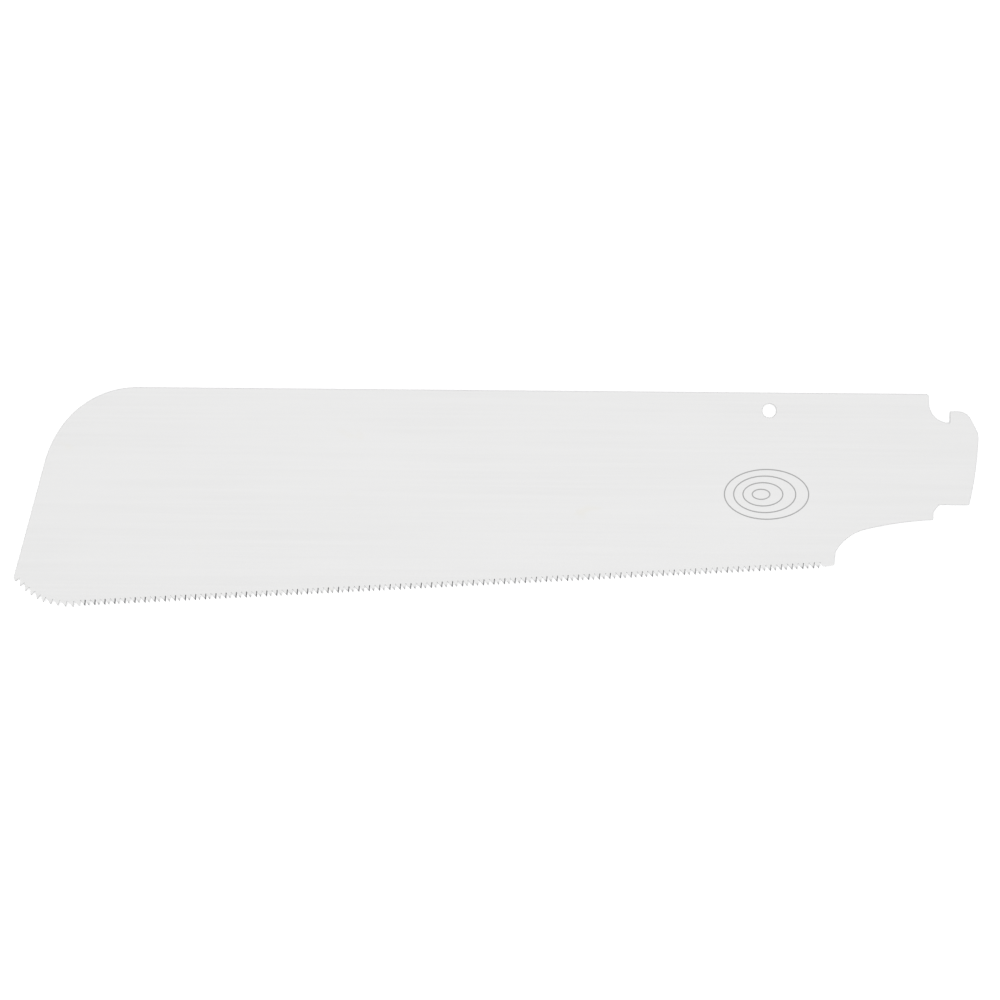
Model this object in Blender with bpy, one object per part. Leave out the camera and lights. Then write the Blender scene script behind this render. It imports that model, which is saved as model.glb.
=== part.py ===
"""Replaceable blade of a Japanese pull saw: one flat sheet of hardened spring steel.

The blade lies flat. X runs along its back edge towards the tang, Y from the teeth up to the back edge,
and Z through the sheet. The origin is the middle of the blade's outline, at the height of its lowest set
tooth tips.

The outline is drawn from a datum, the shoulder: the corner where the back edge would meet the straight
wall of the hook notch if that corner weren't rounded. It is walked anticlockwise, seen from above: the
teeth from toe to heel, the heel and the tang, the hook and its notch, the back edge, and the nose.
"""
import math

import bmesh
import bpy
from mathutils import Vector

MM = 0.001

# The sheet, and how closely straight facets follow its arcs
SHEET_THICKNESS = 0.5 * MM
ARC_SAG = 0.008 * MM

# Nose: two arcs that run into each other, then a straight edge that slants forward to the toe
NOSE_START_X = -231.55 * MM
NOSE_UPPER_RADIUS = 27.0 * MM
NOSE_LOWER_RADIUS = 32.0 * MM
NOSE_ARC_CHANGE = 142.0
NOSE_SLANT = 14.55
NOSE_EDGE_BOTTOM_Y = -56.1 * MM

# Toe teeth: plain and coarse, on a rounded clip of the corner that runs into the main line.
# Each stretch is its number of teeth, their pitch, and the edge's slope at its first and its last tooth.
TOE_FIRST_TIP = Vector((-267.0, -57.05)) * MM
TOE_STRETCHES = (
    (5, 2.08 * MM, -46.0, -27.0),
    (4, 2.22 * MM, -14.5, -1.5),
    (1, 1.88 * MM, 4.5, 4.5),
)
TOE_DEPTH = 1.7 * MM

# Main teeth: crosscut teeth in pairs. The second tooth stands closer to the first than to the next pair,
# and the pairs grow slowly from the toe to the heel.
MAIN_SLOPE = 3.43
MAIN_FIRST_GAP = 1.58 * MM
MAIN_PAIRS = 71
FIRST_PAIR_PITCH = 2.929 * MM
LAST_PAIR_PITCH = 3.181 * MM
SECOND_TOOTH_SHARE = 0.43
MAIN_DEPTH = 1.9 * MM

# Tooth form: the steep flank faces the handle, because the saw cuts on the pull
STEEP_FLANK_ANGLE = 8.0
GULLET_FLOOR = 0.16 * MM
FLEAM_ANGLE = 26.0
SET_EACH_SIDE = 0.12 * MM

# Heel, and the hollow curve from it up to the tang: a small arc that runs into a large one
HEEL_FLAT_START = Vector((-30.4, -50.7)) * MM
HEEL_CORNER = Vector((-27.35, -50.27)) * MM
HOLLOW_LARGE_CENTRE = Vector((6.78, -139.4)) * MM
HOLLOW_LARGE_RADIUS = 102.8 * MM
HOLLOW_SMALL_RADIUS = 13.6 * MM
HOLLOW_START = 151.8
HOLLOW_ARC_CHANGE = 104.15

# Tang: a chamfered step below it, a slightly convex end and a rounded crown
TANG_STEP_X = 1.55 * MM
TANG_CHAMFER_BOTTOM_Y = -34.5 * MM
TANG_BOTTOM_START_X = 3.2 * MM
TANG_BOTTOM_Y = -32.3 * MM
TANG_END_CENTRE = Vector((-89.1, -9.3)) * MM
TANG_END_RADIUS = 103.7 * MM
TANG_END_TOP_ANGLE = -1.75
CROWN_SIDE_RADIUS = 3.5 * MM
CROWN_TOP_RADIUS = 4.0 * MM
CROWN_TOP_X = 8.71 * MM
CROWN_SLOPE_NORMAL = 28.0

# Hook, and the notch that drops over the pin in the handle
HOOK_TOP_Y = -5.0 * MM
HOOK_FACE_X = 6.2 * MM
HOOK_TIP_RADIUS = 0.25 * MM
NOTCH_RADIUS = 6.0 * MM
NOTCH_CENTRE_Y = -2.4 * MM
NOTCH_CORNER_RADIUS = 0.3 * MM
SHOULDER_RADIUS = 0.9 * MM

# Hanging hole near the back edge
HOLE_CENTRE = Vector((-46.7, -5.2)) * MM
HOLE_DIAMETER = 4.2 * MM
HOLE_SIDES = 40

# Bare ground steel
STEEL_COLOUR = (0.74, 0.745, 0.75, 1.0)
STEEL_ROUGHNESS = 0.34

UPPER = 1
LOWER = -1
PLAIN = 0
NO_SHIFT = Vector((0.0, 0.0))


class OutlinePoint:
    """One corner of the outline: its place on the upper and the lower face, and its set out of flat."""

    def __init__(self, upper, lower=None, bend=0.0, is_tip=False):
        self.place = {UPPER: upper, LOWER: upper if lower is None else lower}
        self.bend = bend
        self.is_tip = is_tip


class Gullet:
    """The space between two teeth. A ground one runs aslant through the sheet, at the fleam angle."""

    def __init__(self, tip, along, seen_whole_on):
        inward = Vector((-along.y, along.x))
        plain = seen_whole_on == PLAIN
        depth = TOE_DEPTH if plain else MAIN_DEPTH
        start = tip + along * depth * math.tan(math.radians(STEEP_FLANK_ANGLE)) + inward * depth
        floor_points = [start, start + along * GULLET_FLOOR]
        self.skew = NO_SHIFT if plain else along * SHEET_THICKNESS * math.tan(math.radians(FLEAM_ANGLE))
        self.shift = {face: NO_SHIFT if face == seen_whole_on else -self.skew for face in (UPPER, LOWER)}
        self.floor = {face: [point + self.shift[face] for point in floor_points] for face in (UPPER, LOWER)}


def direction(degrees):
    """Unit vector at an angle from +X, anticlockwise."""
    return Vector((math.cos(math.radians(degrees)), math.sin(math.radians(degrees))))


def arc(centre, radius, start, end):
    """Outline points along an arc from one angle to another, both ends included."""
    widest_step = math.degrees(2.0 * math.acos(1.0 - ARC_SAG / radius))
    steps = max(2, math.ceil(abs(end - start) / widest_step))
    angles = [start + (end - start) * step / steps for step in range(steps + 1)]
    return [OutlinePoint(centre + radius * direction(angle)) for angle in angles]


def crossing(point_a, direction_a, point_b, direction_b):
    """Where two straight lines meet."""
    gap = point_b - point_a
    reach = gap.cross(direction_b) / direction_a.cross(direction_b)
    return point_a + direction_a * reach


def tooth_plan():
    """Every tooth from toe to heel: its tip, the direction of the edge after it, and its pointed face."""
    teeth = []
    tip = TOE_FIRST_TIP
    for count, pitch, first_slope, last_slope in TOE_STRETCHES:
        for number in range(count):
            slope = first_slope + (last_slope - first_slope) * number / max(1, count - 1)
            teeth.append((tip, direction(slope), PLAIN))
            tip = tip + pitch * direction(slope)
    along = direction(MAIN_SLOPE)
    teeth.append((tip, along, PLAIN))
    tip = tip + MAIN_FIRST_GAP * along
    for pair in range(MAIN_PAIRS):
        share = pair / (MAIN_PAIRS - 1)
        pair_pitch = FIRST_PAIR_PITCH + (LAST_PAIR_PITCH - FIRST_PAIR_PITCH) * share
        teeth.append((tip, along, LOWER))
        teeth.append((tip + SECOND_TOOTH_SHARE * pair_pitch * along, along, UPPER))
        tip = tip + pair_pitch * along
    return teeth


def gullet_side(side, next_side):
    """The face on which a gullet starts at its tooth's true tip; a gullet between plain teeth has none."""
    return side if side != PLAIN else -next_side


def tip_on(face, tip, before, after):
    """A tooth's tip on one face: where its back flank meets its steep flank there."""
    back_start = tip + before.shift[face] + before.skew
    steep_start = tip + after.shift[face]
    back_flank = before.floor[face][-1] - back_start
    steep_flank = after.floor[face][0] - steep_start
    return crossing(steep_start, steep_flank, back_start, back_flank)


def toothed_edge():
    """Outline points from the first toe tooth to the start of the heel flat."""
    teeth = tooth_plan()
    next_sides = [side for _, _, side in teeth[1:]] + [LOWER]
    gullets = [
        Gullet(tip, along, gullet_side(side, next_side))
        for (tip, along, side), next_side in zip(teeth, next_sides)
    ]
    points = []
    for number, (tip, _, side) in enumerate(teeth):
        after = gullets[number]
        # Teeth are set in turn to the two faces, each ground tooth towards the face that holds its point
        bend = SET_EACH_SIDE * (side if side != PLAIN else (UPPER if number % 2 else LOWER))
        if number == 0:
            points.append(OutlinePoint(tip, bend=bend, is_tip=True))
        else:
            before = gullets[number - 1]
            on_upper, on_lower = (tip_on(face, tip, before, after) for face in (UPPER, LOWER))
            points.append(OutlinePoint(on_upper, on_lower, bend, is_tip=True))
        for upper, lower in zip(after.floor[UPPER], after.floor[LOWER]):
            points.append(OutlinePoint(upper, lower))
    last = gullets[-1]
    heel_upper, heel_lower = (HEEL_FLAT_START + last.shift[face] + last.skew for face in (UPPER, LOWER))
    points.append(OutlinePoint(heel_upper, heel_lower))
    return points


def heel_and_tang():
    """Outline points from the heel corner round the tang to the hook's flat top."""
    radius_change = HOLLOW_LARGE_RADIUS - HOLLOW_SMALL_RADIUS
    small_centre = HOLLOW_LARGE_CENTRE + radius_change * direction(HOLLOW_ARC_CHANGE)
    hollow_end = math.degrees(math.acos((TANG_STEP_X - HOLLOW_LARGE_CENTRE.x) / HOLLOW_LARGE_RADIUS))
    tang_corner = math.degrees(math.asin((TANG_BOTTOM_Y - TANG_END_CENTRE.y) / TANG_END_RADIUS))
    side_centre = TANG_END_CENTRE + (TANG_END_RADIUS - CROWN_SIDE_RADIUS) * direction(TANG_END_TOP_ANGLE)
    top_centre = Vector((CROWN_TOP_X, HOOK_TOP_Y - CROWN_TOP_RADIUS))
    points = [OutlinePoint(HEEL_CORNER)]
    points += arc(small_centre, HOLLOW_SMALL_RADIUS, HOLLOW_START, HOLLOW_ARC_CHANGE)
    points += arc(HOLLOW_LARGE_CENTRE, HOLLOW_LARGE_RADIUS, HOLLOW_ARC_CHANGE, hollow_end)[1:]
    points.append(OutlinePoint(Vector((TANG_STEP_X, TANG_CHAMFER_BOTTOM_Y))))
    points.append(OutlinePoint(Vector((TANG_BOTTOM_START_X, TANG_BOTTOM_Y))))
    points += arc(TANG_END_CENTRE, TANG_END_RADIUS, tang_corner, TANG_END_TOP_ANGLE)
    points += arc(side_centre, CROWN_SIDE_RADIUS, TANG_END_TOP_ANGLE, CROWN_SLOPE_NORMAL)[1:]
    points += arc(top_centre, CROWN_TOP_RADIUS, CROWN_SLOPE_NORMAL, 90.0)
    return points


def hook_and_notch():
    """Outline points from the hook's tip, down into the notch, and up to the shoulder."""
    tip_centre = Vector((HOOK_FACE_X + HOOK_TIP_RADIUS, HOOK_TOP_Y - HOOK_TIP_RADIUS))
    notch_centre = Vector((NOTCH_RADIUS, NOTCH_CENTRE_Y))
    notch_floor_y = NOTCH_CENTRE_Y - NOTCH_RADIUS
    corner_centre = Vector((HOOK_FACE_X - NOTCH_CORNER_RADIUS, notch_floor_y + NOTCH_CORNER_RADIUS))
    notch_floor_end = 360.0 - math.degrees(math.acos((corner_centre.x - notch_centre.x) / NOTCH_RADIUS))
    points = arc(tip_centre, HOOK_TIP_RADIUS, 90.0, 180.0)
    points += arc(corner_centre, NOTCH_CORNER_RADIUS, 360.0, 270.0)[:-1]
    points += arc(notch_centre, NOTCH_RADIUS, notch_floor_end, 180.0)
    points += arc(Vector((-SHOULDER_RADIUS, -SHOULDER_RADIUS)), SHOULDER_RADIUS, 0.0, 90.0)
    return points


def back_and_nose():
    """Outline points from the end of the back edge round the nose and down its slanted edge."""
    upper_centre = Vector((NOSE_START_X, -NOSE_UPPER_RADIUS))
    lower_centre = upper_centre + (NOSE_UPPER_RADIUS - NOSE_LOWER_RADIUS) * direction(NOSE_ARC_CHANGE)
    points = arc(upper_centre, NOSE_UPPER_RADIUS, 90.0, NOSE_ARC_CHANGE)
    points += arc(lower_centre, NOSE_LOWER_RADIUS, NOSE_ARC_CHANGE, 180.0 - NOSE_SLANT)[1:]
    slant_top = points[-1].place[UPPER]
    drop = slant_top.y - NOSE_EDGE_BOTTOM_Y
    points.append(OutlinePoint(slant_top - Vector((drop * math.tan(math.radians(NOSE_SLANT)), drop))))
    return points


def fill_face(mesh, ring, tips, hole_ring, normal):
    """Cover one face of the sheet: a triangle for each tooth, and the body with its hole for the rest."""
    body_ring = []
    for number, vertex in enumerate(ring):
        if tips[number]:
            following = ring[(number + 1) % len(ring)]
            mesh.faces.new((ring[number - 1], vertex, following))
        else:
            body_ring.append(vertex)
    edges = []
    for loop in (body_ring, hole_ring):
        for first, second in zip(loop, loop[1:] + loop[:1]):
            edges.append(mesh.edges.get((first, second)) or mesh.edges.new((first, second)))
    bmesh.ops.triangle_fill(mesh, use_beauty=True, edges=edges, normal=normal)


def build_wall(mesh, upper_ring, lower_ring):
    """Join two rings of the same length with four-sided faces."""
    for number, upper in enumerate(upper_ring):
        lower = lower_ring[number]
        mesh.faces.new((upper_ring[number - 1], lower_ring[number - 1], lower, upper))


def build_blade_mesh():
    """The whole sheet as one closed mesh, with its origin at the middle of its outline."""
    outline = toothed_edge() + heel_and_tang() + hook_and_notch() + back_and_nose()
    corners = [point.place[face] for point in outline for face in (UPPER, LOWER)]
    middle = Vector((
        (min(corner.x for corner in corners) + max(corner.x for corner in corners)) / 2.0,
        (min(corner.y for corner in corners) + max(corner.y for corner in corners)) / 2.0,
    ))
    face_height = {LOWER: SET_EACH_SIDE, UPPER: SET_EACH_SIDE + SHEET_THICKNESS}
    tips = [point.is_tip for point in outline]
    mesh = bmesh.new()
    rings = {}
    holes = {}
    for face in (UPPER, LOWER):
        rings[face] = []
        for point in outline:
            place = point.place[face] - middle
            rings[face].append(mesh.verts.new((place.x, place.y, face_height[face] + point.bend)))
        hole_edge = [
            HOLE_CENTRE - middle + HOLE_DIAMETER / 2.0 * direction(360.0 * side / HOLE_SIDES)
            for side in range(HOLE_SIDES)
        ]
        holes[face] = [mesh.verts.new((place.x, place.y, face_height[face])) for place in hole_edge]
        fill_face(mesh, rings[face], tips, holes[face], Vector((0.0, 0.0, face)))
    build_wall(mesh, rings[UPPER], rings[LOWER])
    build_wall(mesh, holes[UPPER], holes[LOWER])
    bmesh.ops.recalc_face_normals(mesh, faces=mesh.faces)
    return mesh


def steel_material():
    """Bare, ground spring steel."""
    material = bpy.data.materials.new("ground_spring_steel")
    material.use_nodes = True
    shader = material.node_tree.nodes["Principled BSDF"]
    shader.inputs["Base Color"].default_value = STEEL_COLOUR
    shader.inputs["Metallic"].default_value = 1.0
    shader.inputs["Roughness"].default_value = STEEL_ROUGHNESS
    return material


def make_saw_blade():
    """The saw blade's object, lying flat."""
    mesh = build_blade_mesh()
    data = bpy.data.meshes.new("saw_blade")
    mesh.to_mesh(data)
    mesh.free()
    data.materials.append(steel_material())
    blade = bpy.data.objects.new("saw_blade", data)
    bpy.context.scene.collection.objects.link(blade)


for leftover in list(bpy.data.objects):
    bpy.data.objects.remove(leftover)
make_saw_blade()
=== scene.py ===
"""Replaceable blade of a Japanese pull saw, lying flat on a pale table under soft studio light."""
import math

import bmesh
import bpy
from mathutils import Matrix, Vector


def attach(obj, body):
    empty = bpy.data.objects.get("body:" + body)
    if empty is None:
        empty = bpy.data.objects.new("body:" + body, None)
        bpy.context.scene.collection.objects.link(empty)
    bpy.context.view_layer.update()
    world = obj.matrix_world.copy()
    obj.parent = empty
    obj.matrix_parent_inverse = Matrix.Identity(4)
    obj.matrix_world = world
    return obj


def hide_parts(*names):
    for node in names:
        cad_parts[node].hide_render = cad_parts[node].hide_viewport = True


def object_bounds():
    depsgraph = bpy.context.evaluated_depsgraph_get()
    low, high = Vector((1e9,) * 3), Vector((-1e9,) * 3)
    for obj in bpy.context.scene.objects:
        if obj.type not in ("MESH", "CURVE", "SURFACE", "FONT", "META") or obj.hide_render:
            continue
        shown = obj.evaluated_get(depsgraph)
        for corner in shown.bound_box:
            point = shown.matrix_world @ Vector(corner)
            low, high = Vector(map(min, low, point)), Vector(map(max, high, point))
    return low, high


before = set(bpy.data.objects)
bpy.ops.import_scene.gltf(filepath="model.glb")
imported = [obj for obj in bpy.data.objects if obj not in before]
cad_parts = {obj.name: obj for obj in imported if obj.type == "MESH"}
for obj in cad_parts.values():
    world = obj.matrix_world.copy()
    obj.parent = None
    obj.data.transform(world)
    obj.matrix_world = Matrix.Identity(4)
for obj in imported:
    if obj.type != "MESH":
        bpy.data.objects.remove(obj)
cad_low, cad_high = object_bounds()

# ---------------------------------------------------------------------------------------------------
# Toothed edge. The teeth are ground into the edge of a half-millimetre sheet of hardened spring steel:
# plain teeth round the toe, then crosscut teeth in pairs, ground aslant and set in turn to both sides.
# Places are millimetres from the shoulder, the corner between the back edge and the pin's notch.
# ---------------------------------------------------------------------------------------------------
SHEET_THICKNESS = 0.5
TOE_FIRST_TIP = Vector((-267.0, -57.05, 0.0))
TOE_STRETCHES = ((5, 2.08, -46.0, -27.0), (4, 2.22, -14.5, -1.5), (1, 1.88, 4.5, 4.5))
TOE_DEPTH = 1.7
MAIN_SLOPE = 3.43
MAIN_FIRST_GAP = 1.58
MAIN_PAIRS = 71
FIRST_PAIR_PITCH = 2.929
LAST_PAIR_PITCH = 3.181
SECOND_TOOTH_SHARE = 0.43
MAIN_DEPTH = 1.9
STEEP_FLANK_ANGLE = 8.0
GULLET_FLOOR = 0.16
FLEAM_ANGLE = 26.0
SET_EACH_SIDE = 0.12
MAIN_HARDNESS = 1.0
TOE_HARDNESS = 0.65
HEEL_FLAT_START = Vector((-30.4, -50.7, 0.0))
UPPER = 1
LOWER = -1
PLAIN = 0
NOT_TOOTHED = 0
GULLET_CORNER = 1
TOOTH_TIP = 2


def direction(degrees):
    """Unit vector along the sheet, at an angle from its back edge, anticlockwise."""
    return Vector((math.cos(math.radians(degrees)), math.sin(math.radians(degrees)), 0.0))


def into_sheet(along):
    """Unit vector square to the toothed edge, which points into the sheet."""
    return Vector((-along.y, along.x, 0.0))


class Gullet:
    """The space ground out between two teeth. The wheel of a crosscut gullet crosses the sheet aslant."""

    def __init__(self, tip, along, seen_whole_on):
        plain = seen_whole_on == PLAIN
        depth = TOE_DEPTH if plain else MAIN_DEPTH
        start = tip + along * depth * math.tan(math.radians(STEEP_FLANK_ANGLE)) + into_sheet(along) * depth
        self.skew = along * (0.0 if plain else SHEET_THICKNESS * math.tan(math.radians(FLEAM_ANGLE)))
        self.shift = {face: self.skew * (0.0 if face == seen_whole_on else -1.0) for face in (UPPER, LOWER)}
        self.floor_start = {face: start + self.shift[face] for face in (UPPER, LOWER)}
        self.floor_end = {face: start + along * GULLET_FLOOR + self.shift[face] for face in (UPPER, LOWER)}


def tooth_plan():
    """Every tooth from toe to heel: its tip, the direction of the edge after it, and its pointed face."""
    teeth = []
    tip = TOE_FIRST_TIP
    for count, pitch, first_slope, last_slope in TOE_STRETCHES:
        for number in range(count):
            along = direction(first_slope + (last_slope - first_slope) * number / max(1, count - 1))
            teeth.append((tip, along, PLAIN))
            tip = tip + pitch * along
    along = direction(MAIN_SLOPE)
    teeth.append((tip, along, PLAIN))
    tip = tip + MAIN_FIRST_GAP * along
    for pair in range(MAIN_PAIRS):
        share = pair / (MAIN_PAIRS - 1)
        pair_pitch = FIRST_PAIR_PITCH + (LAST_PAIR_PITCH - FIRST_PAIR_PITCH) * share
        teeth.append((tip, along, LOWER))
        teeth.append((tip + SECOND_TOOTH_SHARE * pair_pitch * along, along, UPPER))
        tip = tip + pair_pitch * along
    return teeth


def point_on(face, tip, before, after):
    """Where a tooth's two ground flanks meet on one face of the sheet."""
    back_top = tip + before.shift[face] + before.skew
    back_flank = before.floor_end[face] - back_top
    steep_top = tip + after.shift[face]
    steep_flank = after.floor_start[face] - steep_top
    gap = (back_top - steep_top).to_2d()
    reach = gap.cross(back_flank.to_2d()) / steep_flank.to_2d().cross(back_flank.to_2d())
    return steep_top + steep_flank * reach


def heat_left(short_by, along, side):
    """How scorched a tooth is where it ends on one face: less, the more that falls short of its tip."""
    depth, hardness = (TOE_DEPTH, TOE_HARDNESS) if side == PLAIN else (MAIN_DEPTH, MAIN_HARDNESS)
    return hardness * (1.0 - short_by.dot(into_sheet(along)) / depth)


def line_to(sheet, corner, place):
    """Draws a straight edge from a corner to a place, and gives back its far end."""
    end = bmesh.ops.extrude_vert_indiv(sheet, verts=[corner])["verts"][0]
    end.co = place
    return end


def draw_teeth(sheet, corner, teeth):
    """Draws the toothed edge to the heel. Each corner keeps how it differs on the other face."""
    kind = sheet.verts.layers.int["kind"]
    slant = sheet.verts.layers.float_vector["slant"]
    bend = sheet.verts.layers.float["bend"]
    hardened = sheet.verts.layers.float["hardened"]
    fade = sheet.verts.layers.float["fade"]
    sides = [side for _, _, side in teeth] + [LOWER]
    gullets = []
    for number, (tip, along, side) in enumerate(teeth):
        gullets.append(Gullet(tip, along, side if side != PLAIN else -sides[number + 1]))
    for number, (tip, along, side) in enumerate(teeth):
        after = gullets[number]
        places = {UPPER: tip, LOWER: tip}
        if number > 0:
            places = {face: point_on(face, tip, gullets[number - 1], after) for face in (UPPER, LOWER)}
        corner = line_to(sheet, corner, places[LOWER])
        corner[kind] = TOOTH_TIP
        corner[slant] = places[UPPER] - places[LOWER]
        corner[bend] = SET_EACH_SIDE * (side if side != PLAIN else (UPPER if number % 2 else LOWER))
        scorched = {face: heat_left(places[face] - tip, along, side) for face in (UPPER, LOWER)}
        corner[hardened] = scorched[LOWER]
        corner[fade] = scorched[UPPER] - scorched[LOWER]
        for floor in (after.floor_start, after.floor_end):
            corner = line_to(sheet, corner, floor[LOWER])
            corner[kind] = GULLET_CORNER
            corner[slant] = floor[UPPER] - floor[LOWER]
            corner[bend] = 0.0
            corner[hardened] = 0.0
            corner[fade] = 0.0
    last = gullets[-1]
    corner = line_to(sheet, corner, HEEL_FLAT_START + last.shift[LOWER] + last.skew)
    corner[kind] = GULLET_CORNER
    corner[slant] = last.shift[UPPER] - last.shift[LOWER]
    return corner


# ---------------------------------------------------------------------------------------------------
# Blank. The rest of the outline is punched from the steel strip: the heel, the hollow up to the tang,
# the hook and the notch that drops over the handle's pin, the straight back and the rounded nose. A fine
# stone breaks the punched edges, which leaves a hair of a bevel on both faces.
# ---------------------------------------------------------------------------------------------------
ARC_SAG = 0.004
WIDEST_ARC_STEP = 2.5
BROKEN_EDGE = 0.06
RIM_ANGLE = 60.0
CLOSE_OUTLINE_WITHIN = 0.001
NOSE_START_X = -231.55
NOSE_UPPER_RADIUS = 27.0
NOSE_LOWER_RADIUS = 32.0
NOSE_ARC_CHANGE = 142.0
NOSE_SLANT = 14.55
NOSE_EDGE_BOTTOM_Y = -56.1
HEEL_CORNER = Vector((-27.35, -50.27, 0.0))
HOLLOW_LARGE_CENTRE = Vector((6.78, -139.4, 0.0))
HOLLOW_LARGE_RADIUS = 102.8
HOLLOW_SMALL_RADIUS = 13.6
HOLLOW_START = 151.8
HOLLOW_ARC_CHANGE = 104.15
TANG_STEP_X = 1.55
TANG_CHAMFER_BOTTOM_Y = -34.5
TANG_BOTTOM_START_X = 3.2
TANG_BOTTOM_Y = -32.3
TANG_END_CENTRE = Vector((-89.1, -9.3, 0.0))
TANG_END_RADIUS = 103.7
TANG_END_TOP_ANGLE = -1.75
CROWN_SIDE_RADIUS = 3.5
CROWN_TOP_RADIUS = 4.0
CROWN_TOP_X = 8.71
CROWN_SLOPE_NORMAL = 28.0
HOOK_TOP_Y = -5.0
HOOK_FACE_X = 6.2
HOOK_TIP_RADIUS = 0.25
NOTCH_RADIUS = 6.0
NOTCH_CENTRE_Y = -2.4
NOTCH_CORNER_RADIUS = 0.3
SHOULDER_RADIUS = 0.9
TANG_LENGTH = 14.553


def arc_to(sheet, corner, centre, degrees):
    """Swings a corner round a centre, anticlockwise for a positive angle, and gives back the far end."""
    radius = (corner.co - centre).length
    flat_enough = math.degrees(2.0 * math.acos(1.0 - ARC_SAG / radius))
    steps = math.ceil(abs(degrees) / min(flat_enough, WIDEST_ARC_STEP))
    swept = bmesh.ops.spin(
        sheet, geom=[corner], cent=centre, axis=(0.0, 0.0, 1.0), angle=math.radians(degrees), steps=steps
    )
    return next(part for part in swept["geom_last"] if isinstance(part, bmesh.types.BMVert))


def draw_heel_and_tang(sheet, corner):
    """Draws on from the end of the teeth, round the heel and the tang, to the hook's flat top."""
    radius_change = HOLLOW_LARGE_RADIUS - HOLLOW_SMALL_RADIUS
    small_centre = HOLLOW_LARGE_CENTRE + radius_change * direction(HOLLOW_ARC_CHANGE)
    hollow_end = math.degrees(math.acos((TANG_STEP_X - HOLLOW_LARGE_CENTRE.x) / HOLLOW_LARGE_RADIUS))
    tang_corner = math.degrees(math.asin((TANG_BOTTOM_Y - TANG_END_CENTRE.y) / TANG_END_RADIUS))
    side_centre = TANG_END_CENTRE + (TANG_END_RADIUS - CROWN_SIDE_RADIUS) * direction(TANG_END_TOP_ANGLE)
    top_centre = Vector((CROWN_TOP_X, HOOK_TOP_Y - CROWN_TOP_RADIUS, 0.0))
    corner = line_to(sheet, corner, HEEL_CORNER)
    corner[sheet.verts.layers.int["kind"]] = NOT_TOOTHED
    corner[sheet.verts.layers.float_vector["slant"]] = Vector((0.0, 0.0, 0.0))
    corner = line_to(sheet, corner, small_centre + HOLLOW_SMALL_RADIUS * direction(HOLLOW_START))
    corner = arc_to(sheet, corner, small_centre, HOLLOW_ARC_CHANGE - HOLLOW_START)
    corner = arc_to(sheet, corner, HOLLOW_LARGE_CENTRE, hollow_end - HOLLOW_ARC_CHANGE)
    corner = line_to(sheet, corner, Vector((TANG_STEP_X, TANG_CHAMFER_BOTTOM_Y, 0.0)))
    corner = line_to(sheet, corner, Vector((TANG_BOTTOM_START_X, TANG_BOTTOM_Y, 0.0)))
    corner = line_to(sheet, corner, TANG_END_CENTRE + TANG_END_RADIUS * direction(tang_corner))
    corner = arc_to(sheet, corner, TANG_END_CENTRE, TANG_END_TOP_ANGLE - tang_corner)
    corner = arc_to(sheet, corner, side_centre, CROWN_SLOPE_NORMAL - TANG_END_TOP_ANGLE)
    corner = line_to(sheet, corner, top_centre + CROWN_TOP_RADIUS * direction(CROWN_SLOPE_NORMAL))
    return arc_to(sheet, corner, top_centre, 90.0 - CROWN_SLOPE_NORMAL)


def draw_hook_and_notch(sheet, corner):
    """Draws on from the hook's flat top, down into the notch, and up round the shoulder to the back."""
    notch_centre = Vector((NOTCH_RADIUS, NOTCH_CENTRE_Y, 0.0))
    inner_x = HOOK_FACE_X - NOTCH_CORNER_RADIUS
    inner_corner = Vector((inner_x, NOTCH_CENTRE_Y - NOTCH_RADIUS + NOTCH_CORNER_RADIUS, 0.0))
    floor_end = 360.0 - math.degrees(math.acos((inner_x - NOTCH_RADIUS) / NOTCH_RADIUS))
    corner = line_to(sheet, corner, Vector((HOOK_FACE_X + HOOK_TIP_RADIUS, HOOK_TOP_Y, 0.0)))
    corner = arc_to(sheet, corner, corner.co - Vector((0.0, HOOK_TIP_RADIUS, 0.0)), 90.0)
    corner = line_to(sheet, corner, inner_corner + Vector((NOTCH_CORNER_RADIUS, 0.0, 0.0)))
    corner = arc_to(sheet, corner, inner_corner, -90.0)
    corner = line_to(sheet, corner, notch_centre + NOTCH_RADIUS * direction(floor_end))
    corner = arc_to(sheet, corner, notch_centre, 180.0 - floor_end)
    corner = line_to(sheet, corner, Vector((0.0, -SHOULDER_RADIUS, 0.0)))
    return arc_to(sheet, corner, Vector((-SHOULDER_RADIUS, -SHOULDER_RADIUS, 0.0)), 90.0)


def draw_back_and_nose(sheet, corner):
    """Draws on along the back edge, round the nose and down its slanted edge to above the toe."""
    upper_centre = Vector((NOSE_START_X, -NOSE_UPPER_RADIUS, 0.0))
    lower_centre = upper_centre + (NOSE_UPPER_RADIUS - NOSE_LOWER_RADIUS) * direction(NOSE_ARC_CHANGE)
    corner = line_to(sheet, corner, Vector((NOSE_START_X, 0.0, 0.0)))
    corner = arc_to(sheet, corner, upper_centre, NOSE_ARC_CHANGE - 90.0)
    corner = arc_to(sheet, corner, lower_centre, 180.0 - NOSE_SLANT - NOSE_ARC_CHANGE)
    slant_top = lower_centre + NOSE_LOWER_RADIUS * direction(180.0 - NOSE_SLANT)
    drop = slant_top.y - NOSE_EDGE_BOTTOM_Y
    foot = slant_top - Vector((drop * math.tan(math.radians(NOSE_SLANT)), drop, 0.0))
    return line_to(sheet, corner, foot)


def fill_outline(sheet):
    """Covers the outline: one face for the body and a face for each tooth, which can bend at its root."""
    kind = sheet.verts.layers.int["kind"]
    for tip in [corner for corner in sheet.verts if corner[kind] == TOOTH_TIP]:
        neighbours = [edge.other_vert(tip) for edge in tip.link_edges]
        bmesh.ops.contextual_create(sheet, geom=[tip] + neighbours)
    body_edges = [edge for edge in sheet.edges if all(end[kind] != TOOTH_TIP for end in edge.verts)]
    bmesh.ops.edgenet_fill(sheet, edges=body_edges)


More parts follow.
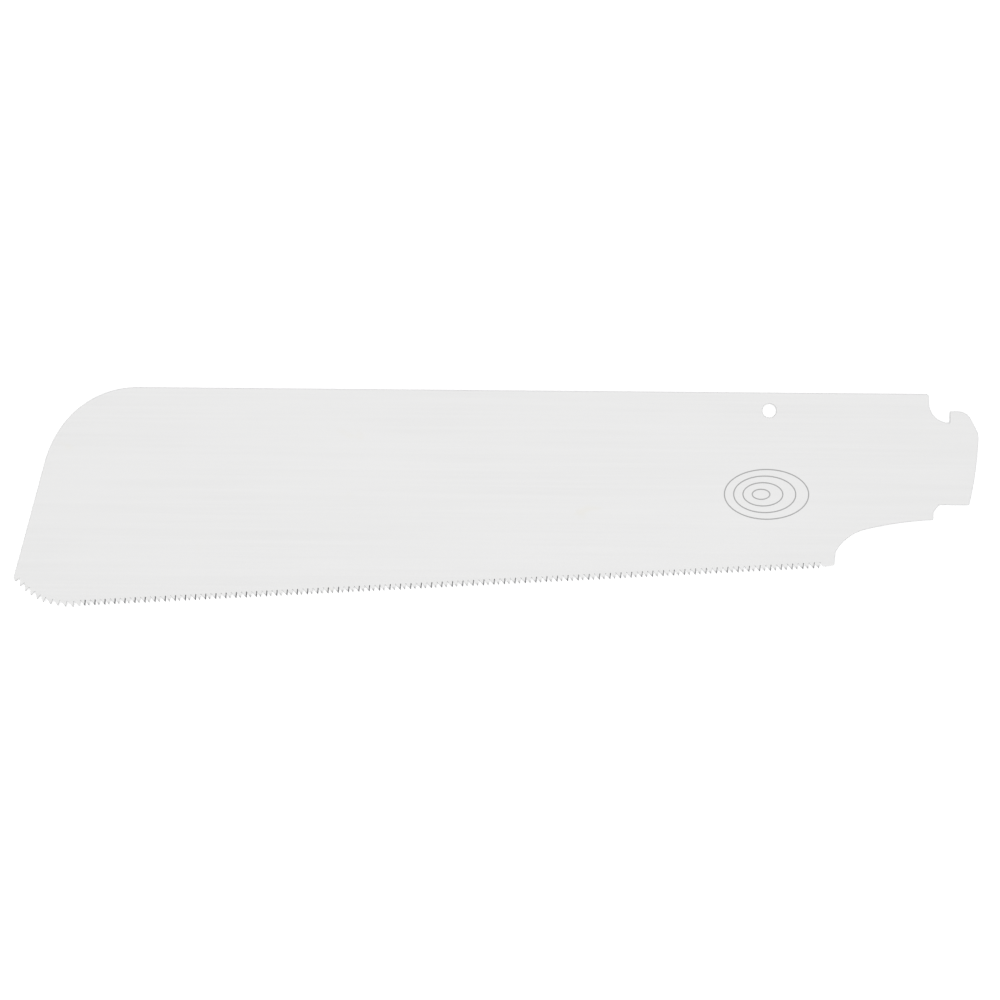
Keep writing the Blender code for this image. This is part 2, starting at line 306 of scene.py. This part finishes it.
def raise_sheet(sheet):
    """Gives the outline its thickness, slants the ground gullets through it, and sets the teeth."""
    slant = sheet.verts.layers.float_vector["slant"]
    bend = sheet.verts.layers.float["bend"]
    hardened = sheet.verts.layers.float["hardened"]
    fade = sheet.verts.layers.float["fade"]
    raised = bmesh.ops.extrude_face_region(sheet, geom=sheet.faces[:])["geom"]
    for corner in [part for part in raised if isinstance(part, bmesh.types.BMVert)]:
        corner.co += corner[slant] + Vector((0.0, 0.0, SHEET_THICKNESS))
        corner[hardened] += corner[fade]
    for corner in sheet.verts:
        corner.co.z += corner[bend]
    bmesh.ops.recalc_face_normals(sheet, faces=sheet.faces)


def break_edges(sheet):
    """Bevels the rims of both faces, all but the sharp teeth."""
    kind = sheet.verts.layers.int["kind"]
    plain_edges = [edge for edge in sheet.edges if all(end[kind] == NOT_TOOTHED for end in edge.verts)]
    rims = [edge for edge in plain_edges if edge.calc_face_angle(0.0) > math.radians(RIM_ANGLE)]
    rims = [edge for edge in rims if abs(edge.verts[0].co.z - edge.verts[1].co.z) < BROKEN_EDGE]
    bmesh.ops.bevel(
        sheet, geom=rims, offset=BROKEN_EDGE, affect="EDGES", segments=1, profile=0.5, material=-1
    )


def punch_sheet():
    """The sheet with its whole outline and its teeth, in millimetres from the shoulder."""
    sheet = bmesh.new()
    sheet.verts.layers.int.new("kind")
    sheet.verts.layers.float_vector.new("slant")
    sheet.verts.layers.float.new("bend")
    sheet.verts.layers.float.new("hardened")
    sheet.verts.layers.float.new("fade")
    start = sheet.verts.new((-SHOULDER_RADIUS, 0.0, 0.0))
    foot = draw_back_and_nose(sheet, start)
    heel = draw_teeth(sheet, foot, tooth_plan())
    hook = draw_heel_and_tang(sheet, heel)
    draw_hook_and_notch(sheet, hook)
    bmesh.ops.remove_doubles(sheet, verts=sheet.verts, dist=CLOSE_OUTLINE_WITHIN)
    fill_outline(sheet)
    raise_sheet(sheet)
    break_edges(sheet)
    return sheet


# ---------------------------------------------------------------------------------------------------
# Finishes. The faces are ground lengthwise to a pale satin, with soft clouds, a few faint straw-coloured
# stains and a heat tint on the hardened points. The punched edges are duller. Both flanks of each tooth
# are the same ground steel: the steep flank is painted darker, as painted shade, and the back flank is
# painted lighter, as a painted highlight.
# ---------------------------------------------------------------------------------------------------
MM = 0.001
SATIN_DARK = (0.582, 0.581, 0.580, 1.0)
SATIN_LIGHT = (0.604, 0.603, 0.602, 1.0)
SATIN_ROUGHNESS = (0.30, 0.40)
SATIN_RELIEF = 0.007
COARSE_GRAIN = (0.012, 1.1, 1.1)
FINE_GRAIN = (0.05, 9.0, 9.0)
GRAIN_RANGE = (0.12, 0.42)
CLOUDS = (0.02, 0.035, 0.035)
CLOUD_RANGE = (0.3, 0.75)
CLOUD_STRENGTH = 0.5
STRAW_STAIN = (0.58, 0.56, 0.50, 1.0)
STAINS = (0.055, 0.09, 0.09)
STAIN_RANGE = (0.66, 0.78)
STAIN_STRENGTH = 0.45
HEAT_TINT = (0.13, 0.13, 0.135, 1.0)
HEAT_RANGE = (0.34, 0.95)
HEAT_PATCHES = (0.75, 0.2, 0.2)
HEAT_PATCH_RANGE = (0.3, 0.6)
HEAT_BETWEEN_PATCHES = 0.75
PUNCHED_DARK = (0.30, 0.30, 0.31, 1.0)
PUNCHED_LIGHT = (0.52, 0.52, 0.53, 1.0)
PUNCHED_ROUGHNESS = (0.38, 0.55)
PUNCHED_RELIEF = 0.01
PUNCH_LINES = (6.0, 6.0, 0.6)
# The steep flank's colours are painted shade: darker copies of the ground steel, darkest at the point.
STEEP_FLANK_PAINTED_SHADE_COLOURS = ((0.13, 0.13, 0.135, 1.0), (0.20, 0.20, 0.205, 1.0), (0.06, 0.06, 0.065, 1.0))
STEEP_FLANK_ROUGHNESS = (0.40, 0.55)
# The back flank's colours are painted light: lighter copies of the ground steel, then the points' heat
# tint.
BACK_FLANK_PAINTED_LIGHT_COLOURS = ((0.66, 0.66, 0.67, 1.0), (0.80, 0.80, 0.81, 1.0), HEAT_TINT)
WHEEL_ROUGHNESS = (0.25, 0.35)
WHEEL_LINES = (0.8, 1.2, 14.0)
WHEEL_RELIEF = 0.003
LINE_RANGE = (0.3, 0.7)
FINE_GRAIN_RANGE = (0.25, 0.75)


def link_or_set(tree, socket, value):
    """Feeds a socket from another socket, or sets it to a plain value."""
    if isinstance(value, bpy.types.NodeSocket):
        tree.links.new(value, socket)
    else:
        socket.default_value = value


def streaks(tree, stretch, turn=0.0, detail=4.0):
    """Noise on the blade's own place, with so many repeats a millimetre along each axis."""
    place = tree.nodes.new("ShaderNodeTexCoord")
    mapping = tree.nodes.new("ShaderNodeMapping")
    mapping.vector_type = "TEXTURE"
    mapping.inputs["Rotation"].default_value = (0.0, 0.0, math.radians(turn))
    mapping.inputs["Scale"].default_value = tuple(MM / repeats for repeats in stretch)
    noise = tree.nodes.new("ShaderNodeTexNoise")
    noise.inputs["Scale"].default_value = 1.0
    noise.inputs["Detail"].default_value = detail
    tree.links.new(place.outputs["Object"], mapping.inputs["Vector"])
    tree.links.new(mapping.outputs["Vector"], noise.inputs["Vector"])
    return noise.outputs["Fac"]


def spread(tree, value, low, high, new_low=0.0, new_high=1.0):
    """Stretches a value's range from low and high to a new one, and clamps it there."""
    node = tree.nodes.new("ShaderNodeMapRange")
    node.interpolation_type = "SMOOTHSTEP"
    tree.links.new(value, node.inputs["Value"])
    node.inputs["From Min"].default_value = low
    node.inputs["From Max"].default_value = high
    node.inputs["To Min"].default_value = new_low
    node.inputs["To Max"].default_value = new_high
    return node.outputs["Result"]


def blend(tree, amount, first, second):
    """Mixes two colours."""
    node = tree.nodes.new("ShaderNodeMix")
    node.data_type = "RGBA"
    link_or_set(tree, node.inputs[0], amount)
    link_or_set(tree, node.inputs[6], first)
    link_or_set(tree, node.inputs[7], second)
    return node.outputs[2]


def multiply(tree, first, second):
    """Multiplies two values."""
    node = tree.nodes.new("ShaderNodeMath")
    node.operation = "MULTIPLY"
    link_or_set(tree, node.inputs[0], first)
    link_or_set(tree, node.inputs[1], second)
    return node.outputs[0]


def bare_metal(name):
    """A bare steel finish, ready for its colour and roughness."""
    finish = bpy.data.materials.new(name)
    finish.use_nodes = True
    finish.node_tree.nodes["Principled BSDF"].inputs["Metallic"].default_value = 1.0
    return finish


def put_on(finish, colour, roughness, height, relief):
    """Feeds a finish's shader: colour, roughness, and a height pattern of so many millimetres' relief."""
    tree = finish.node_tree
    shader = tree.nodes["Principled BSDF"]
    bump = tree.nodes.new("ShaderNodeBump")
    bump.inputs["Distance"].default_value = relief * MM
    tree.links.new(height, bump.inputs["Height"])
    tree.links.new(bump.outputs["Normal"], shader.inputs["Normal"])
    link_or_set(tree, shader.inputs["Base Color"], colour)
    link_or_set(tree, shader.inputs["Roughness"], roughness)


def heat_of_points(tree):
    """How much a place is tinted by the hardening heat: most at the points, less towards the roots."""
    hardened = tree.nodes.new("ShaderNodeAttribute")
    hardened.attribute_name = "hardened"
    near_points = spread(tree, hardened.outputs["Fac"], *HEAT_RANGE)
    patches = streaks(tree, HEAT_PATCHES, turn=MAIN_SLOPE, detail=1.0)
    uneven = spread(tree, patches, *HEAT_PATCH_RANGE, HEAT_BETWEEN_PATCHES, 1.0)
    return multiply(tree, near_points, uneven)


def make_satin_face():
    """The ground faces of the sheet."""
    finish = bare_metal("satin_ground_face")
    tree = finish.node_tree
    fine_grain = streaks(tree, FINE_GRAIN)
    grain = multiply(tree, streaks(tree, COARSE_GRAIN), fine_grain)
    clouds = spread(tree, streaks(tree, CLOUDS, detail=2.0), *CLOUD_RANGE, 0.0, CLOUD_STRENGTH)
    stains = spread(tree, streaks(tree, STAINS, detail=3.0), *STAIN_RANGE, 0.0, STAIN_STRENGTH)
    colour = blend(tree, spread(tree, grain, *GRAIN_RANGE), SATIN_DARK, SATIN_LIGHT)
    colour = blend(tree, clouds, colour, SATIN_LIGHT)
    colour = blend(tree, stains, colour, STRAW_STAIN)
    colour = blend(tree, heat_of_points(tree), colour, HEAT_TINT)
    roughness = spread(tree, fine_grain, *FINE_GRAIN_RANGE, *SATIN_ROUGHNESS)
    put_on(finish, colour, roughness, grain, SATIN_RELIEF)
    return finish


def make_punched_edge():
    """The sheared wall all round the blank, with the punch's fine upright lines."""
    finish = bare_metal("punched_edge")
    tree = finish.node_tree
    lines = streaks(tree, PUNCH_LINES)
    colour = blend(tree, spread(tree, lines, *LINE_RANGE), PUNCHED_DARK, PUNCHED_LIGHT)
    put_on(finish, colour, spread(tree, lines, *LINE_RANGE, *PUNCHED_ROUGHNESS), lines, PUNCHED_RELIEF)
    return finish


def make_flank(name, colours, roughness):
    """A tooth's ground flank, with the wheel's fine lines. Its colours are dark, light and the point's."""
    dark, light, point = colours
    finish = bare_metal(name)
    tree = finish.node_tree
    lines = streaks(tree, WHEEL_LINES)
    colour = blend(tree, spread(tree, lines, *LINE_RANGE), dark, light)
    colour = blend(tree, heat_of_points(tree), colour, point)
    put_on(finish, colour, spread(tree, lines, *LINE_RANGE, *roughness), lines, WHEEL_RELIEF)
    return finish


# ---------------------------------------------------------------------------------------------------
# Hanging hole. A small hole near the back edge is drilled through the finished sheet and touched with a
# countersink on both faces, so that the blade can hang on a peg.
# ---------------------------------------------------------------------------------------------------
HOLE_CENTRE = Vector((-46.7, -5.2, 0.0))
HOLE_RADIUS = 2.1
HOLE_SIDES = 96
COUNTERSINK = 0.05
DRILL_PAST_FACE = 0.3
CLOSE_DRILL_WITHIN = 0.0001


def make_drill():
    """The drill with its two countersinks, as one turned shape."""
    drill = bmesh.new()
    wide = HOLE_RADIUS + COUNTERSINK + DRILL_PAST_FACE
    top = SHEET_THICKNESS + DRILL_PAST_FACE
    corner = drill.verts.new((0.0, 0.0, -DRILL_PAST_FACE))
    for radius, height in (
        (wide, -DRILL_PAST_FACE),
        (HOLE_RADIUS, COUNTERSINK),
        (HOLE_RADIUS, SHEET_THICKNESS - COUNTERSINK),
        (wide, top),
        (0.0, top),
    ):
        corner = line_to(drill, corner, Vector((radius, 0.0, height)))
    bmesh.ops.spin(
        drill, geom=drill.verts[:] + drill.edges[:], cent=(0.0, 0.0, 0.0), axis=(0.0, 0.0, 1.0),
        angle=math.radians(360.0), steps=HOLE_SIDES, use_merge=True,
    )
    bmesh.ops.remove_doubles(drill, verts=drill.verts, dist=CLOSE_DRILL_WITHIN)
    bmesh.ops.recalc_face_normals(drill, faces=drill.faces)
    bmesh.ops.translate(drill, verts=drill.verts, vec=HOLE_CENTRE)
    return drill


# ---------------------------------------------------------------------------------------------------
# Etched mark. A plain generic sign stands between hole and heel on the upper face: the year rings of a
# sawn log, etched as shallow dark lines.
# ---------------------------------------------------------------------------------------------------
MARK_CENTRE = Vector((-47.3, -29.7, 0.0))
MARK_WIDTH = 25.0
MARK_HEIGHT = 14.9
MARK_LINE = 0.34
MARK_RINGS = 4
MARK_INNERMOST = 0.22
MARK_DRIFT = -1.6
ETCH_DEPTH = 0.01
ETCH_TOOL_HEIGHT = 0.04
ETCH_DARK = (0.36, 0.36, 0.36, 1.0)
ETCH_LIGHT = (0.43, 0.43, 0.43, 1.0)
ETCH_ROUGHNESS = (0.55, 0.7)
ETCH_RELIEF = 0.004
PITS = (9.0, 9.0, 9.0)
PIT_RANGE = (0.35, 0.65)
MARK_SIDES = 120


def make_etched():
    """The floor of an etched line: matt, dark and slightly pitted."""
    finish = bare_metal("etched_line")
    tree = finish.node_tree
    pits = streaks(tree, PITS)
    colour = blend(tree, spread(tree, pits, *PIT_RANGE), ETCH_DARK, ETCH_LIGHT)
    put_on(finish, colour, spread(tree, pits, *LINE_RANGE, *ETCH_ROUGHNESS), pits, ETCH_RELIEF)
    return finish


def add_ring(rings, width, height, centre):
    """Adds one oval ring, which starts at the floor of the etch and stands proud of the face."""
    loops = []
    for inset in (0.0, MARK_LINE):
        oval = bmesh.ops.create_circle(rings, cap_ends=False, radius=1.0, segments=MARK_SIDES)["verts"]
        size = Vector((width / 2.0 - inset, height / 2.0 - inset, 1.0))
        bmesh.ops.scale(rings, vec=size, verts=oval)
        bmesh.ops.translate(rings, vec=centre, verts=oval)
        loops += list({edge for corner in oval for edge in corner.link_edges})
    flat_ring = bmesh.ops.bridge_loops(rings, edges=loops)["faces"]
    raised = bmesh.ops.extrude_face_region(rings, geom=flat_ring)["geom"]
    lifted = [part for part in raised if isinstance(part, bmesh.types.BMVert)]
    bmesh.ops.translate(rings, vec=(0.0, 0.0, ETCH_TOOL_HEIGHT), verts=lifted)


def make_mark():
    """The rings of the etched mark, which drift to one side as a log's do."""
    rings = bmesh.new()
    for number in range(MARK_RINGS):
        share = number / (MARK_RINGS - 1)
        size = 1.0 + (MARK_INNERMOST - 1.0) * share
        drift = Vector((MARK_DRIFT * share, 0.0, SHEET_THICKNESS - ETCH_DEPTH))
        add_ring(rings, MARK_WIDTH * size, MARK_HEIGHT * size, MARK_CENTRE + drift)
    bmesh.ops.recalc_face_normals(rings, faces=rings.faces)
    return rings


# ---------------------------------------------------------------------------------------------------
# The blade itself. Punched and ground first, then drilled and etched, and laid where the sheet lies in
# the frame. Only its lowest set points come down to the table.
# ---------------------------------------------------------------------------------------------------
SMOOTH_BELOW = 3.0
FLAT_ENOUGH = 0.9
SET_FACE = 0.6
TURNED_TO_HEEL = 0.2
SATIN_FACE = 0
PUNCHED_EDGE = 1
STEEP_FLANK = 2
BACK_FLANK = 3


def to_object(name, shape, finishes):
    """Makes an object of a shape, with its finishes in order."""
    data = bpy.data.meshes.new(name)
    shape.to_mesh(data)
    shape.free()
    for finish in finishes:
        data.materials.append(finish)
    made = bpy.data.objects.new(name, data)
    bpy.context.scene.collection.objects.link(made)
    return made


def share_out_finishes(sheet):
    """Gives each face of the sheet its finish, by where it is and which way it is turned."""
    kind = sheet.verts.layers.int["kind"]
    for face in sheet.faces:
        on_teeth = all(corner[kind] != NOT_TOOTHED for corner in face.verts)
        if not on_teeth:
            # The 45-degree rim bevels fall below FLAT_ENOUGH, so they take the darker punched-edge finish:
            # partly a duller rim, partly painted shade that draws a dark outline.
            face.material_index = SATIN_FACE if abs(face.normal.z) > FLAT_ENOUGH else PUNCHED_EDGE
        elif abs(face.normal.z) > SET_FACE:
            face.material_index = SATIN_FACE
        else:
            # Steep flanks get the dark copy of the flank steel, which is painted shade; back flanks get the
            # light copy, which is painted light.
            face.material_index = STEEP_FLANK if face.normal.x > TURNED_TO_HEEL else BACK_FLANK


def cut_away(blade, name, tool_shape, finish):
    """Takes a tool's shape out of the blade, and leaves the tool's finish on the cut."""
    tool = to_object(name, tool_shape, [finish])
    cut = blade.modifiers.new(name, "BOOLEAN")
    cut.operation = "DIFFERENCE"
    cut.solver = "EXACT"
    cut.material_mode = "TRANSFER"
    cut.object = tool
    seen = blade.evaluated_get(bpy.context.evaluated_depsgraph_get())
    whole = blade.data
    blade.data = bpy.data.meshes.new_from_object(seen)
    blade.modifiers.clear()
    bpy.data.meshes.remove(whole)
    bpy.data.objects.remove(tool)


shoulder = Vector((cad_high.x - TANG_LENGTH * MM, cad_high.y, cad_low.z + SET_EACH_SIDE * MM))
punched_edge = make_punched_edge()
blade_shape = punch_sheet()
share_out_finishes(blade_shape)
blade = to_object("saw_blade_steel", blade_shape, [
    make_satin_face(),
    punched_edge,
    # The two flank finishes are one ground steel, painted darker as painted shade and lighter as painted
    # light.
    make_flank("steep_flank_painted_shade", STEEP_FLANK_PAINTED_SHADE_COLOURS, STEEP_FLANK_ROUGHNESS),
    make_flank("back_flank_painted_light", BACK_FLANK_PAINTED_LIGHT_COLOURS, WHEEL_ROUGHNESS),
])
cut_away(blade, "drill", make_drill(), punched_edge)
cut_away(blade, "mark", make_mark(), make_etched())
blade.data.transform(Matrix.Translation(shoulder) @ Matrix.Scale(MM, 4))
blade.data.shade_smooth()
blade.data.set_sharp_from_angle(angle=math.radians(SMOOTH_BELOW))
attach(blade, "root")
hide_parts("saw_blade")

# ---------------------------------------------------------------------------------------------------
# Table and light. The blade lies on a pale, matt table, softly lit from within so that its gullets stay
# light, under a wide overhead softbox in a pale room that is darker towards its walls.
# ---------------------------------------------------------------------------------------------------
TABLE_HALF_WIDTH = 4.0
TABLE_SQUARES = 8
TABLE_GAP = 0.00001
TABLE_ROUGHNESS = 0.7
TABLE_MOTTLE = (0.05, 0.05, 0.05)
TABLE_COLOUR = (0.88, 0.88, 0.88, 1.0)
TABLE_COLOUR_SHADE = (0.84, 0.84, 0.84, 1.0)
TABLE_GLOW = 0.25
ROOM_HIGH = 1.22
ROOM_LOW = 0.5
ROOM_BRIGHTEST_FROM = 0.9
SOFTBOX_SIZE = 1.8
SOFTBOX_HEIGHT = 1.7
SOFTBOX_POWER = 2.5


def make_table():
    """The table top, a sheet of opal plastic."""
    top = bmesh.new()
    bmesh.ops.create_grid(top, x_segments=TABLE_SQUARES, y_segments=TABLE_SQUARES, size=TABLE_HALF_WIDTH)
    bmesh.ops.translate(top, verts=top.verts, vec=(0.0, 0.0, cad_low.z - TABLE_GAP))
    opal = bpy.data.materials.new("opal_table")
    opal.use_nodes = True
    tree = opal.node_tree
    shader = tree.nodes["Principled BSDF"]
    shader.inputs["Roughness"].default_value = TABLE_ROUGHNESS
    shader.inputs["Emission Color"].default_value = (1.0, 1.0, 1.0, 1.0)
    shader.inputs["Emission Strength"].default_value = TABLE_GLOW
    mottle = streaks(tree, TABLE_MOTTLE)
    link_or_set(tree, shader.inputs["Base Color"], blend(tree, mottle, TABLE_COLOUR_SHADE, TABLE_COLOUR))
    return to_object("table_top", top, [opal])


def light_room():
    """The room's own light, which falls off from the ceiling to the walls."""
    room = bpy.data.worlds.new("studio")
    room.use_nodes = True
    tree = room.node_tree
    background = tree.nodes["Background"]
    place = tree.nodes.new("ShaderNodeTexCoord")
    split = tree.nodes.new("ShaderNodeSeparateXYZ")
    tree.links.new(place.outputs["Generated"], split.inputs["Vector"])
    background.inputs["Color"].default_value = (1.0, 1.0, 1.0, 1.0)
    strength = spread(tree, split.outputs["Z"], 0.0, ROOM_BRIGHTEST_FROM, ROOM_LOW, ROOM_HIGH)
    tree.links.new(strength, background.inputs["Strength"])
    bpy.context.scene.world = room


def hang_softbox():
    """A wide softbox straight above the table."""
    lamp = bpy.data.lights.new("overhead_softbox", "AREA")
    lamp.shape = "SQUARE"
    lamp.size = SOFTBOX_SIZE
    lamp.energy = SOFTBOX_POWER
    softbox = bpy.data.objects.new("overhead_softbox", lamp)
    softbox.location = (0.0, 0.0, SOFTBOX_HEIGHT)
    bpy.context.scene.collection.objects.link(softbox)


make_table()
light_room()
hang_softbox()
bpy.context.scene.view_settings.view_transform = "Standard"

# ---------------------------------------------------------------------------------------------------
# Camera. It hangs straight above the blade with a long lens, turned half a degree from square.
# ---------------------------------------------------------------------------------------------------
FIELD_WIDTH = 0.29268
FIELD_CENTRE = Vector((0.001145, 0.000183))
LENS = 100.0
CAMERA_TURN = 0.5


def hang_camera():
    """The camera above the upper face of the sheet."""
    view = bpy.data.cameras.new("camera")
    view.lens = LENS
    distance = FIELD_WIDTH * LENS / view.sensor_width
    camera = bpy.data.objects.new("camera", view)
    camera.location = (FIELD_CENTRE.x, FIELD_CENTRE.y, shoulder.z + SHEET_THICKNESS * MM + distance)
    camera.rotation_euler = (0.0, 0.0, math.radians(CAMERA_TURN))
    bpy.context.scene.collection.objects.link(camera)
    bpy.context.scene.camera = camera


hang_camera()
